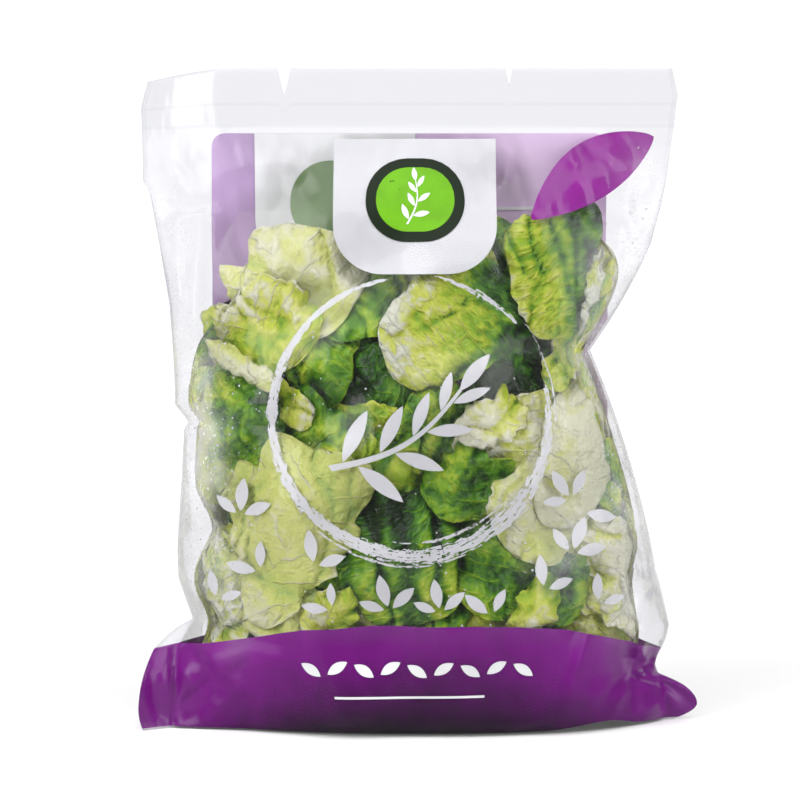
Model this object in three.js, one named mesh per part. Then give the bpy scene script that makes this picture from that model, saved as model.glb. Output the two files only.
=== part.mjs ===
// Clear film bag of salad leaves, standing on its filled bottom fold, as one closed solid.
// Units are millimetres. +Z is up, the printed front faces -Y, and the origin is on the
// floor, under the middle of the bag.
import * as THREE from "three";

// Film
const filmWidth = 234; // the empty bag, laid flat, from side weld to side weld
const filmWall = 0.6; // half the thickness of the flat, welded edges and header
const bagHeight = 282;

// Filled body
const bellyHeight = 50; // where the filled body is deepest
const bellyDepth = 47.5; // from the side welds' plane to the front or the back
const baseNarrowing = 4; // the body is this much less deep at the floor
const baseRound = 12; // radius of the edge between the base and the panels
const headerStart = 258; // above this height the front and back films lie together
const fullness = { power: 2.3, root: 0.8 }; // plan section: (1 - |s|^power)^root
const frontShare = 1.03; // the front bulges a little more than the back
const backShare = 0.97;

// How the bag leans and bends
const leanLeft = 6; // sideways shift of the top edge
const leanBack = 9; // backward shift of the top edge
const cornerBend = { reach: 0.32, depth: 15, above: 215 }; // the top left corner bends back
// The flat ears at the base bend forwards on the left and backwards on the right.
const earBend = { from: 0.6, power: 1.5, left: -24, right: 8, clearBelow: 18, goneAbove: 46 };

// Tucks pull a side weld inwards, as a V or as a long pleat. A negative depth pushes it out.
const tucks = [
  { side: 1, height: 160.6, depth: 35.5, up: 110, upPower: 2, down: 122, downPower: 1.7 },
  { side: 1, height: 24, depth: 3, up: 12, upPower: 1, down: 9, downPower: 1 },
  { side: 1, height: 42, depth: -3, up: 24, upPower: 1, down: 14, downPower: 1 },
  { side: 1, height: 246, depth: 3, up: 24, upPower: 0.5, down: 38, downPower: 0.6 },
  { side: 1, height: 282, depth: 2.5, up: 5, upPower: 1, down: 14, downPower: 1 },
  { side: -1, height: 129, depth: 7, up: 8, upPower: 1, down: 55, downPower: 1.2 },
  { side: -1, height: 180, depth: 6.2, up: 52, upPower: 0.35, down: 52, downPower: 0.3 },
  { side: -1, height: 45, depth: 6, up: 18, upPower: 1.1, down: 12, downPower: 1 },
  { side: -1, height: 282, depth: 3.5, up: 5, upPower: 1, down: 14, downPower: 1 },
];

// Ears are the flat welded ends of the bottom fold, which stand out past the filled body.
const ears = [
  { side: 1, height: 7, reach: 14.5, up: 13, down: 8, roundness: 1 },
  { side: -1, height: 10, reach: 14, up: 34, down: 18, roundness: 0.6 },
];

// Folds run across a panel from one point to another, both as [x, height]. A positive
// depth is a ridge and a negative one is a valley.
const folds = [
  { panel: -1, from: [-121, 254], to: [-94, 222], width: 5, depth: 5 },
  { panel: -1, from: [-116, 224], to: [-92, 220], width: 5, depth: -5 },
  { panel: -1, from: [-101, 214], to: [-97, 140], width: 5, depth: -4.5 },
  { panel: -1, from: [101, 250], to: [80, 170], width: 7, depth: -3.5 },
  { panel: -1, from: [72, 161], to: [40, 150], width: 8, depth: -4 },
  { panel: -1, from: [100, 24], to: [76, 34], width: 6, depth: -5 },
  { panel: -1, from: [92, 2], to: [84, 44], width: 5, depth: -4 },
  { panel: -1, from: [-104, 12], to: [-66, 34], width: 7, depth: -4 },
  { panel: -1, from: [-98, 40], to: [-50, 38], width: 7, depth: -3 },
  { panel: -1, from: [38, 256], to: [52, 200], width: 6, depth: 3 },
  { panel: 1, from: [56, 256], to: [70, 206], width: 6, depth: 4 },
  { panel: 1, from: [-104, 240], to: [-78, 180], width: 7, depth: -4 },
  { panel: 1, from: [-70, 256], to: [-52, 214], width: 6, depth: 3.5 },
  { panel: 1, from: [72, 161], to: [34, 142], width: 9, depth: -5 },
  { panel: 1, from: [-101, 129], to: [-62, 116], width: 8, depth: -4 },
  { panel: 1, from: [-100, 20], to: [-58, 40], width: 8, depth: -5 },
  { panel: 1, from: [100, 18], to: [60, 42], width: 8, depth: -5 },
];

// Lumps are where the leaves press the film out, as crossed waves on each panel, with the
// distance from crest to crest across and up the panel.
const lumps = [
  { across: 46, up: 171, height: 1.1, phase: 1 },
  { across: -83, up: 52, height: 1.2, phase: 2 },
  { across: 118, up: 74, height: 1.3, phase: 4 },
];

// Torn hanging holes in the top edge
const notches = [
  { x: -59, width: 5.4, depth: 11 },
  { x: 38, width: 2.6, depth: 7.5 },
];
const topDroop = { reach: 0.35, depth: 4.5 }; // the top edge falls towards its left corner

// Mesh density
const columnCount = 46;
const roundSteps = 4;
const lowRows = { top: 60, step: 4.8 };
const bodyRowStep = 7.6;
const headerRows = 3;

const clamp01 = (v) => Math.min(1, Math.max(0, v));
const smoothStep = (low, high, v) => {
  const t = clamp01((v - low) / (high - low));
  return t * t * (3 - 2 * t);
};

// Half depth of the filled body at a height, at the middle of the panel.
function sagAt(z) {
  if (z < bellyHeight) {
    return bellyDepth - baseNarrowing * ((bellyHeight - z) / bellyHeight) ** 2;
  }
  const share = clamp01((z - bellyHeight) / (headerStart - bellyHeight));
  return bellyDepth * (1 - share * share) ** 0.95;
}

// A film that bulges into an arc of this sag spans less than its flat width.
function narrowingAt(z) {
  return ((4 / 3) * sagAt(z) ** 2) / filmWidth;
}

function tuckAt(side, z) {
  let sum = 0;
  for (const tuck of tucks) {
    if (tuck.side !== side) continue;
    const above = z > tuck.height;
    const reach = above ? tuck.up : tuck.down;
    const power = above ? tuck.upPower : tuck.downPower;
    sum += tuck.depth * clamp01(1 - Math.abs(z - tuck.height) / reach) ** power;
  }
  return sum;
}

function earAt(side, z) {
  let sum = 0;
  for (const ear of ears) {
    if (ear.side !== side) continue;
    const reach = z > ear.height ? ear.up : ear.down;
    sum += ear.reach * clamp01(1 - ((z - ear.height) / reach) ** 2) ** ear.roundness;
  }
  return sum;
}

// Distance from the bag's middle line to the edge of the filled body, on one side.
function bodyHalfAt(side, z) {
  return filmWidth / 2 - narrowingAt(z) - tuckAt(side, z);
}

function middleAt(z) {
  return -leanLeft * (z / bagHeight) ** 2;
}

// How far a point of a panel is pushed out by the folds that pass near it.
function foldAt(panel, x, z) {
  let sum = 0;
  for (const fold of folds) {
    if (fold.panel !== panel) continue;
    const dx = fold.to[0] - fold.from[0];
    const dz = fold.to[1] - fold.from[1];
    const along = clamp01(((x - fold.from[0]) * dx + (z - fold.from[1]) * dz) / (dx * dx + dz * dz));
    const away = Math.hypot(x - fold.from[0] - along * dx, z - fold.from[1] - along * dz);
    const taper = 1 - along ** 3;
    sum += fold.depth * taper * Math.exp(-((away / fold.width) ** 1.4));
  }
  return sum;
}

function lumpAt(panel, x, z) {
  let sum = 0;
  for (const lump of lumps) {
    const turns = x / lump.across + z / lump.up;
    sum += lump.height * Math.sin(2 * Math.PI * turns + lump.phase * panel);
  }
  return sum;
}

// The plane of the side welds bends backwards and forwards with the bag.
function weldPlaneAt(s, z) {
  const back = leanBack * smoothStep(140, bagHeight, z);
  const corner = clamp01((-1 + cornerBend.reach - s) / cornerBend.reach);
  const bend = cornerBend.depth * corner ** 1.5 * smoothStep(cornerBend.above, headerStart, z);
  const low = 1 - smoothStep(earBend.clearBelow, earBend.goneAbove, z);
  const outer = clamp01((Math.abs(s) - earBend.from) / (1 - earBend.from)) ** earBend.power;
  const ear = (s < 0 ? earBend.left : earBend.right) * outer * low;
  return back + bend + ear;
}

// The top edge falls towards its left corner, and is torn at the hanging holes.
function topEdgeAt(s, x) {
  const droop = topDroop.depth * clamp01((-1 + topDroop.reach - s) / topDroop.reach) ** 1.6;
  let notch = 0;
  for (const cut of notches) {
    notch = Math.max(notch, cut.depth * clamp01(1 - Math.abs(x - cut.x) / (cut.width / 2)));
  }
  return bagHeight - droop - notch;
}

// A point of the bag's skin: panel -1 is the front and 1 the back, and s runs from the left
// weld, -1, to the right weld, 1.
function skinPoint(panel, s, z) {
  const side = s < 0 ? -1 : 1;
  const body = bodyHalfAt(side, z);
  const span = body + earAt(side, z);
  const x = middleAt(z) + s * span;
  const across = clamp01(Math.abs(s * span) / body);
  const round = z < baseRound ? baseRound - Math.sqrt(baseRound ** 2 - (baseRound - z) ** 2) : 0;
  const sag = sagAt(z);
  const share = panel < 0 ? frontShare : backShare;
  const bulge = share * (sag - round) * (1 - across ** fullness.power) ** fullness.root;
  const soft = smoothStep(0, 14, bulge) * smoothStep(0, 14, z);
  const relief = (foldAt(panel, x, z) + lumpAt(panel, x, z)) * soft;
  const half = Math.hypot(Math.max(0, bulge + relief), filmWall);
  const height = z > headerStart ? headerHeight(s, x, z) : z;
  return new THREE.Vector3(x, weldPlaneAt(s, z) + panel * half, height);
}

// Header rows are spread between the header's start and the top edge.
function headerHeight(s, x, z) {
  const share = (z - headerStart) / (bagHeight - headerStart);
  return headerStart + share * (topEdgeAt(s, x) - headerStart);
}

// Rows are closest where the base edge turns and around the ears.
function rowHeights() {
  const rows = [];
  for (let i = 0; i < roundSteps; i++) {
    rows.push(baseRound * (1 - Math.cos((i / roundSteps) * (Math.PI / 2))));
  }
  for (let z = baseRound; z < lowRows.top; z += lowRows.step) rows.push(z);
  const bodyRows = Math.round((headerStart - lowRows.top) / bodyRowStep);
  for (let i = 0; i < bodyRows; i++) {
    rows.push(lowRows.top + ((headerStart - lowRows.top) * i) / bodyRows);
  }
  for (let i = 0; i <= headerRows; i++) {
    rows.push(headerStart + ((bagHeight - headerStart) * i) / headerRows);
  }
  return rows;
}

// Even columns, plus the shoulders and the foot of each torn hole.
function columnShares() {
  const shares = [];
  for (let i = 0; i <= columnCount; i++) shares.push(-1 + (2 * i) / columnCount);
  const half = bodyHalfAt(1, bagHeight);
  const halfLeft = bodyHalfAt(-1, bagHeight);
  for (const cut of notches) {
    for (const offset of [-cut.width / 2, 0, cut.width / 2]) {
      const x = cut.x + offset - middleAt(bagHeight);
      const share = x / (x < 0 ? halfLeft : half);
      const near = shares.filter((v) => Math.abs(v - share) > 0.008);
      shares.length = 0;
      shares.push(...near, share);
    }
  }
  return shares.sort((a, b) => a - b);
}

// Rings run along the front from left to right and back along the rear panel.
function bagGeometry() {
  const shares = columnShares();
  const rows = rowHeights();
  const ringSize = 2 * shares.length;
  const positions = [];
  for (const z of rows) {
    for (const s of shares) positions.push(...skinPoint(-1, s, z).toArray());
    for (const s of [...shares].reverse()) positions.push(...skinPoint(1, s, z).toArray());
  }
  const index = [];
  for (let row = 0; row < rows.length - 1; row++) {
    for (let i = 0; i < ringSize; i++) {
      const next = (i + 1) % ringSize;
      const a = row * ringSize + i;
      const b = row * ringSize + next;
      const c = (row + 1) * ringSize + next;
      const d = (row + 1) * ringSize + i;
      index.push(a, b, c, a, c, d);
    }
  }
  closeRing(index, 0, shares.length, ringSize, false);
  closeRing(index, (rows.length - 1) * ringSize, shares.length, ringSize, true);
  const geometry = new THREE.BufferGeometry();
  geometry.setAttribute("position", new THREE.Float32BufferAttribute(positions, 3));
  geometry.setIndex(index);
  geometry.computeVertexNormals();
  return geometry;
}

// Closes the base or the top edge with a strip between the front and back of one ring.
function closeRing(index, start, columns, ringSize, facesUp) {
  for (let i = 0; i < columns - 1; i++) {
    const frontA = start + i;
    const frontB = start + i + 1;
    const backA = start + ringSize - 1 - i;
    const backB = start + ringSize - 2 - i;
    if (facesUp) {
      index.push(frontA, frontB, backB, frontA, backB, backA);
    } else {
      index.push(frontA, backB, frontB, frontA, backA, backB);
    }
  }
}

const clearFilm = new THREE.MeshStandardMaterial({
  color: 0xb9cf8f,
  roughness: 0.2,
  metalness: 0,
});

const bag = new THREE.Mesh(bagGeometry(), clearFilm);
bag.name = "salad_bag";

const saladBag = new THREE.Group();
saladBag.add(bag);

export default saladBag;
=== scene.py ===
import math

import bpy
import numpy as np
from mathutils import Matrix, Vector


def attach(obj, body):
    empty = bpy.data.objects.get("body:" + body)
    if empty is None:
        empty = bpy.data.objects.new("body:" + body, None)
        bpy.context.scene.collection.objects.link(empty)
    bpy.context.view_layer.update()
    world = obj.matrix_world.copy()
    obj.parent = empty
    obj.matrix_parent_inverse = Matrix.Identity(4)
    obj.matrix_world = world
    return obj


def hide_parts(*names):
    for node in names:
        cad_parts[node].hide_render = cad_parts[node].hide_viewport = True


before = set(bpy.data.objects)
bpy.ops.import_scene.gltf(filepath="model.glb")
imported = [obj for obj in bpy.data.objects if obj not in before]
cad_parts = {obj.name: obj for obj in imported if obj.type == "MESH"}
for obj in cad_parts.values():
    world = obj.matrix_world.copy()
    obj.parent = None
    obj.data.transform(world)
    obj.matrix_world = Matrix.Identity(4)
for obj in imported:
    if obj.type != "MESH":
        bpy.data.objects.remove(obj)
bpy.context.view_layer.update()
mm = 0.001
bagNode = "salad_bag"


# small helpers for numbers, noise and meshes

def clamp01(value):
    return np.clip(value, 0.0, 1.0)


def smoothStep(low, high, value):
    t = clamp01((value - low) / (high - low))
    return t * t * (3 - 2 * t)


def softPlus(value, knee):
    return knee * np.logaddexp(0.0, value / knee)


def hashUnit(i, j, seed):
    n = np.sin(i * 127.1 + j * 311.7 + seed * 74.7) * 43758.5453
    return n - np.floor(n)


def smoothNoise(x, y, seed=0.0):  # value noise from -1 to 1
    xi, yi = np.floor(x), np.floor(y)
    fx, fy = x - xi, y - yi
    fx, fy = fx * fx * (3 - 2 * fx), fy * fy * (3 - 2 * fy)
    low = hashUnit(xi, yi, seed) * (1 - fx) + hashUnit(xi + 1, yi, seed) * fx
    high = hashUnit(xi, yi + 1, seed) * (1 - fx) + hashUnit(xi + 1, yi + 1, seed) * fx
    return (low * (1 - fy) + high * fy) * 2 - 1


def cellBorder(x, y, seed=0.0):  # 0 on the borders between random cells, up to 1 inside them
    xi, yi = np.floor(x), np.floor(y)
    first = np.full(np.shape(x + y), 9.0)
    second = first.copy()
    for dx in (-1, 0, 1):
        for dy in (-1, 0, 1):
            cx, cy = xi + dx, yi + dy
            px = cx + hashUnit(cx, cy, seed)
            py = cy + hashUnit(cx, cy, seed + 5.3)
            away = np.hypot(px - x, py - y)
            second = np.minimum(second, np.maximum(first, away))
            first = np.minimum(first, away)
    return clamp01((second - first) / 0.7)


def gridFaces(rows, columns, start=0, wrap=False, flip=False):
    r, c = np.meshgrid(np.arange(rows - 1), np.arange(columns if wrap else columns - 1),
                       indexing="ij")
    a = start + r * columns + c
    b = start + r * columns + (c + 1) % columns
    quads = np.stack([a, b, b + columns, a + columns], -1).reshape(-1, 4)
    return quads[:, ::-1] if flip else quads


def makeMesh(name, points, faces, numbers=None, vectors=None):
    # points in mm; numbers and vectors are attributes, one value for each point
    mesh = bpy.data.meshes.new(name)
    mesh.from_pydata((np.asarray(points, float) * mm).tolist(), [], [list(f) for f in faces])
    for key, values in (numbers or {}).items():
        layer = mesh.attributes.new(key, "FLOAT", "POINT")
        layer.data.foreach_set("value", np.asarray(values, np.float32).ravel())
    for key, values in (vectors or {}).items():
        layer = mesh.attributes.new(key, "FLOAT_VECTOR", "POINT")
        layer.data.foreach_set("vector", np.asarray(values, np.float32).ravel())
    mesh.polygons.foreach_set("use_smooth", np.ones(len(mesh.polygons), bool))
    mesh.update()
    piece = bpy.data.objects.new(name, mesh)
    bpy.context.scene.collection.objects.link(piece)
    return piece


def finishPiece(piece, material):
    piece.data.materials.clear()
    piece.data.materials.append(material)
    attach(piece, "root")
    count = sum(len(p.vertices) - 2 for p in piece.data.polygons)
    print(piece.name, count, "triangles")
    return piece


# node helpers

def colour(*screen):  # screen colour, 0 to 255, as linear light
    parts = [v / 255 for v in screen]
    return (*(v / 12.92 if v <= 0.04045 else ((v + 0.055) / 1.055) ** 2.4 for v in parts), 1.0)


class Value:  # a number socket that can be used in sums
    def __init__(self, book, socket):
        self.book, self.socket = book, socket

    def maths(self, operation, *others):
        return self.book.maths(operation, self, *others)

    def __add__(self, other): return self.maths("ADD", other)
    def __radd__(self, other): return self.maths("ADD", other)
    def __sub__(self, other): return self.maths("SUBTRACT", other)
    def __rsub__(self, other): return self.book.maths("SUBTRACT", other, self)
    def __mul__(self, other): return self.maths("MULTIPLY", other)
    def __rmul__(self, other): return self.maths("MULTIPLY", other)
    def __pow__(self, other): return self.maths("POWER", other)
    def floorLeft(self): return self.maths("FRACT")
    def size(self): return self.maths("ABSOLUTE")
    def atMost(self, other): return self.maths("MINIMUM", other)


class NodeBook:  # one material and the nodes in it
    def __init__(self, name):
        self.material = bpy.data.materials.new(name)
        self.material.use_nodes = True
        self.tree = self.material.node_tree
        self.tree.nodes.clear()

    def add(self, kind, settings=None, inputs=None, out=0):
        known = ("ShaderNode", "GeometryNode", "FunctionNode")
        node = self.tree.nodes.new(kind if kind.startswith(known) else "ShaderNode" + kind)
        for key, value in (settings or {}).items():
            if key == "stops":
                ramp = node.color_ramp
                while len(ramp.elements) > 1:
                    ramp.elements.remove(ramp.elements[-1])
                ramp.elements[0].position, ramp.elements[0].color = value[0]
                for place, tint in value[1:]:
                    ramp.elements.new(place).color = tint
            else:
                setattr(node, key, value)
        for key, value in (inputs or {}).items():
            target = node.inputs[key]
            value = value.socket if isinstance(value, Value) else value
            if isinstance(value, bpy.types.NodeSocket):
                self.tree.links.new(value, target)
            else:
                target.default_value = value
        return node.outputs[out]

    def number(self, kind, settings=None, inputs=None, out=0):
        return Value(self, self.add(kind, settings, inputs, out))

    def maths(self, operation, *parts):
        return self.number("Math", {"operation": operation}, dict(enumerate(parts)))

    def spread(self, value, low, high, newLow=0.0, newHigh=1.0):
        return self.number("MapRange", {"interpolation_type": "SMOOTHSTEP"},
                           {"Value": value, "From Min": low, "From Max": high,
                            "To Min": newLow, "To Max": newHigh})

    def noise(self, vector, scale, detail):
        return self.number("TexNoise", None, {"Vector": vector, "Scale": scale,
                                              "Detail": detail})

    def attribute(self, name, out="Fac"):
        return self.number("Attribute", {"attribute_name": name}, None, out)

    def place(self):
        return self.add("TexCoord", None, None, "Object")

    def part(self, vector, axis):
        return self.number("SeparateXYZ", None, {"Vector": vector}, axis)

    def mixColours(self, factor, first, second):
        return self.add("Mix", {"data_type": "RGBA"}, {0: factor, 6: first, 7: second}, 2)

    def bump(self, height, strength, distance):
        return self.add("Bump", None, {"Height": height, "Strength": strength,
                                       "Distance": distance})

    def mixShaders(self, factor, first, second):
        return self.add("MixShader", None, {0: factor, 1: first, 2: second})

    def finish(self, shader):
        node = self.tree.nodes.new("ShaderNodeOutputMaterial")
        self.tree.links.new(shader, node.inputs["Surface"])
        return self.material


class GeometryBook(NodeBook):  # a Geometry Nodes tree with named inputs
    def __init__(self, name, inputs):
        self.tree = bpy.data.node_groups.new(name, "GeometryNodeTree")
        self.values = {}
        face = self.tree.interface
        face.new_socket("Geometry", in_out="INPUT", socket_type="NodeSocketGeometry")
        for key, value in inputs.items():
            kind = "NodeSocketInt" if isinstance(value, int) else "NodeSocketFloat"
            self.values[face.new_socket(key, in_out="INPUT", socket_type=kind).identifier] = value
        face.new_socket("Geometry", in_out="OUTPUT", socket_type="NodeSocketGeometry")
        self.entry = self.tree.nodes.new("NodeGroupInput")

    def given(self, key):
        return Value(self, self.entry.outputs[key])

    def grow(self, carrier, result, name):
        # runs the tree on a copy of the carrier and keeps the result as a plain mesh
        exit = self.tree.nodes.new("NodeGroupOutput")
        self.tree.links.new(result, exit.inputs[0])
        holder = bpy.data.objects.new(name + "_carrier", carrier.data.copy())
        bpy.context.scene.collection.objects.link(holder)
        modifier = holder.modifiers.new(name, "NODES")
        modifier.node_group = self.tree
        for identifier, value in self.values.items():
            modifier[identifier] = value
        view = bpy.context.evaluated_depsgraph_get()
        mesh = bpy.data.meshes.new_from_object(holder.evaluated_get(view))
        holder.modifiers.remove(modifier)
        bpy.data.objects.remove(holder)
        mesh.name = name
        piece = bpy.data.objects.new(name, mesh)
        bpy.context.scene.collection.objects.link(piece)
        return piece


# the bag's form, in mm, with the same named values as the solid

bag = {
    "filmWidth": 234, "wall": 0.25, "height": 282,
    "bellyHeight": 50, "bellyDepth": 47.5, "baseNarrowing": 4, "baseRound": 12,
    "headerStart": 258, "power": 2.3, "root": 0.8, "frontShare": 1.03, "backShare": 0.97,
    "leanLeft": 6, "leanBack": 9,
    "corner": {"reach": 0.32, "depth": 15, "above": 215},
    "ear": {"from": 0.6, "power": 1.5, "left": -24, "right": 8, "low": 18, "high": 46},
    "droop": {"reach": 0.35, "depth": 4.5},
    "notches": [(-59, 5.4, 11), (38, 2.6, 7.5)],  # x, width, depth
    # side, height, depth, up, power up, down, power down
    "tucks": [(1, 160.6, 35.5, 110, 2, 122, 1.7), (1, 24, 3, 12, 1, 9, 1),
              (1, 42, -3, 24, 1, 14, 1), (1, 246, 3, 24, 0.5, 38, 0.6),
              (1, 282, 2.5, 5, 1, 14, 1), (-1, 129, 7, 8, 1, 55, 1.2),
              (-1, 180, 6.2, 52, 0.35, 52, 0.3), (-1, 45, 6, 18, 1.1, 12, 1),
              (-1, 282, 3.5, 5, 1, 14, 1)],
    # side, height, reach, up, down, roundness
    "ears": [(1, 7, 14.5, 13, 8, 1), (-1, 10, 14, 34, 18, 0.6)],
    # across, up, height, phase
    "lumps": [(46, 171, 1.1, 1), (-83, 52, 1.2, 2), (118, 74, 1.3, 4)],
}

# panel, from, to, width, depth: soft folds that the solid has too
softFolds = [
    (-1, (-121, 254), (-94, 222), 5, 5), (-1, (-116, 224), (-92, 220), 5, -5),
    (-1, (-101, 214), (-97, 140), 5, -4.5), (-1, (101, 250), (80, 170), 7, -3.5),
    (-1, (72, 161), (40, 150), 8, -4), (-1, (100, 24), (76, 34), 6, -5),
    (-1, (92, 2), (84, 44), 5, -4), (-1, (-104, 12), (-66, 34), 7, -4),
    (-1, (-98, 40), (-50, 38), 7, -3), (-1, (38, 256), (52, 200), 6, 3),
    (1, (56, 256), (70, 206), 6, 4), (1, (-104, 240), (-78, 180), 7, -4),
    (1, (-70, 256), (-52, 214), 6, 3.5), (1, (72, 161), (34, 142), 9, -5),
    (1, (-101, 129), (-62, 116), 8, -4), (1, (-100, 20), (-58, 40), 8, -5),
    (1, (100, 18), (60, 42), 8, -5),
]

# creases that only the film has: panel, from, to, widths left and right of them, height
creases = [
    (-1, (-114, 36), (-82, 6), 8, 12, 3.0), (-1, (-98, 42), (-74, 14), 9, 6, 2.4),
    (-1, (96, 40), (80, 4), 4, 5, 3.2), (-1, (100, 26), (74, 12), 4, 5, -2.6),
    (-1, (70, 44), (58, 6), 7, 5, 1.8), (-1, (-46, 44), (-30, 4), 10, 8, 1.4),
    (-1, (-121, 256), (-91, 221), 5, 17, 4.4), (-1, (-91, 222), (-115, 219), 3, 4, -2),
    (-1, (-92, 219), (-112, 212), 3, 5, 2.2), (-1, (-104, 216), (-102, 146), 9, 5, 3.4),
    (-1, (-95, 214), (-97, 150), 4, 4, -1.8), (-1, (-88, 218), (-92, 156), 5, 6, 1.4),
    (-1, (-106, 250), (-98, 226), 5, 4, -1), (-1, (-99, 148), (-101, 134), 5, 5, -1.6),
    (-1, (104, 252), (88, 190), 4, 5.2, -1.4), (-1, (94, 254), (78, 180), 4.8, 6.2, 1),
    (-1, (60, 258), (74, 214), 4, 5.2, 0.8), (-1, (24, 256), (30, 226), 3.6, 4.7, -0.8),
    (-1, (-70, 257), (-66, 222), 4, 5.2, 0.7), (-1, (74, 160), (56, 168), 3.6, 4.7, -1.4),
    (-1, (76, 152), (52, 146), 4, 5.2, 1.2), (-1, (86, 122), (78, 78), 4, 5.2, -1),
    (-1, (98, 70), (90, 44), 3.2, 4.2, 1.2), (-1, (104, 54), (92, 60), 3, 3.9, -1.2),
    (-1, (-100, 112), (-96, 66), 4, 5.2, 1), (-1, (-98, 42), (-78, 50), 3.6, 4.7, -1.2),
    (-1, (-108, 36), (-84, 36), 3.2, 4.2, 1.2), (-1, (-112, 8), (-92, 22), 3.6, 4.7, 1.6),
    (-1, (-100, 2), (-70, 34), 4.4, 5.7, -1.6), (-1, (84, 38), (90, 6), 3.6, 4.7, 1.8),
    (-1, (92, 30), (82, 16), 3.2, 4.2, -1.6), (-1, (112, 14), (92, 4), 3.6, 4.7, 1.5),
    (1, (-96, 250), (-72, 190), 4.4, 5.7, 1.2), (1, (70, 240), (84, 180), 4.4, 5.7, -1.2),
    (1, (40, 256), (46, 216), 4, 5.2, 0.9), (1, (-30, 257), (-22, 224), 4, 5.2, 0.8),
    (1, (72, 158), (48, 168), 4, 5.2, -1.4), (1, (76, 150), (50, 136), 4, 5.2, 1.3),
    (1, (-98, 128), (-74, 112), 4, 5.2, -1.3), (1, (94, 80), (84, 40), 4, 5.2, 1),
    (1, (-98, 10), (-66, 36), 4.4, 5.7, -1.5), (1, (98, 8), (70, 36), 4.4, 5.7, 1.5),
]


def sagAt(z):
    low = bag["bellyDepth"] - bag["baseNarrowing"] * ((bag["bellyHeight"] - z)
                                                      / bag["bellyHeight"]) ** 2
    share = clamp01((z - bag["bellyHeight"]) / (bag["headerStart"] - bag["bellyHeight"]))
    return np.where(z < bag["bellyHeight"], low, bag["bellyDepth"] * (1 - share ** 2) ** 0.95)


def bodyHalfAt(side, z):
    half = bag["filmWidth"] / 2 - 4 / 3 * sagAt(z) ** 2 / bag["filmWidth"]
    for tuckSide, height, depth, up, upPower, down, downPower in bag["tucks"]:
        if tuckSide == side:
            reach = np.where(z > height, up, down)
            power = np.where(z > height, upPower, downPower)
            half = half - depth * clamp01(1 - np.abs(z - height) / reach) ** power
    return half


def earAt(side, z):
    reachOut = 0 * z
    for earSide, height, reach, up, down, roundness in bag["ears"]:
        if earSide == side:
            span = np.where(z > height, up, down)
            reachOut = reachOut + reach * clamp01(1 - ((z - height) / span) ** 2) ** roundness
    return reachOut


def middleAt(z):
    return -bag["leanLeft"] * (z / bag["height"]) ** 2


def alongFold(start, end, x, z):  # share of the way, distance off, and side of a fold
    dx, dz = end[0] - start[0], end[1] - start[1]
    along = clamp01(((x - start[0]) * dx + (z - start[1]) * dz) / (dx * dx + dz * dz))
    px, pz = x - start[0] - along * dx, z - start[1] - along * dz
    return along, np.hypot(px, pz), (dx * pz - dz * px) > 0


def foldSum(panel, x, z):
    total = 0 * (x + z)
    for side, start, end, width, depth in softFolds:
        if side == panel:
            along, away, _ = alongFold(start, end, x, z)
            total = total + depth * (1 - along ** 3) * np.exp(-(away / width) ** 1.4)
    return total


def creaseSum(panel, x, z):  # flat facets that meet in a sharp line
    total = 0 * (x + z)
    for side, start, end, wideLeft, wideRight, height in creases:
        if side == panel:
            along, away, isLeft = alongFold(start, end, x, z)
            fall = clamp01(1 - away / np.where(isLeft, wideLeft, wideRight))
            total = total + height * (1 - along ** 4) * fall * (1 - 0.3 * (1 - fall))
    return total


def lumpAt(panel, x, z):
    total = 0 * (x + z)
    for across, up, height, phase in bag["lumps"]:
        total = total + height * np.sin(2 * np.pi * (x / across + z / up) + phase * panel)
    return total


def slackAt(x, z):  # 1 where no leaf holds the film out: the top, the sides and the ears
    half = np.where(x < middleAt(z), bodyHalfAt(-1, z), bodyHalfAt(1, z))
    edge = smoothStep(0.78, 0.96, np.abs(x - middleAt(z)) / half)
    return clamp01(smoothStep(196, 236, z) + edge)


def crinkleAt(panel, x, z):
    long = smoothNoise((x + 0.35 * z) / 5.5, z / 26 + 0.2 * x / 9, 3.0 + panel)
    short = smoothNoise(x / 3.4 + z / 13, z / 6.1 - x / 17, 9.0 + panel)
    return (0.55 * long + 0.3 * short) * (0.25 + 0.75 * slackAt(x, z))


def weldPlaneAt(s, z):
    corner, ear = bag["corner"], bag["ear"]
    back = bag["leanBack"] * smoothStep(140, bag["height"], z)
    share = clamp01((-1 + corner["reach"] - s) / corner["reach"])
    bend = corner["depth"] * share ** 1.5 * smoothStep(corner["above"], bag["headerStart"], z)
    outer = clamp01((np.abs(s) - ear["from"]) / (1 - ear["from"])) ** ear["power"]
    low = 1 - smoothStep(ear["low"], ear["high"], z)
    end = smoothStep(0.8, 0.9, np.abs(s)) * (1 - smoothStep(30, 44, z)) * smoothStep(1, 7, z)
    step = s * 11.0 + z / np.where(s > 0, 21.0, 34.0)
    crush = 3.4 * end * (np.abs(step - np.floor(step) - 0.5) - 0.25)  # sharp small pleats
    return crush + back + bend + np.where(s < 0, ear["left"], ear["right"]) * outer * low


def bagSpans(s, z):
    body = np.where(s < 0, bodyHalfAt(-1, z), bodyHalfAt(1, z))
    return body, body + np.where(s < 0, earAt(-1, z), earAt(1, z))


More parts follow.
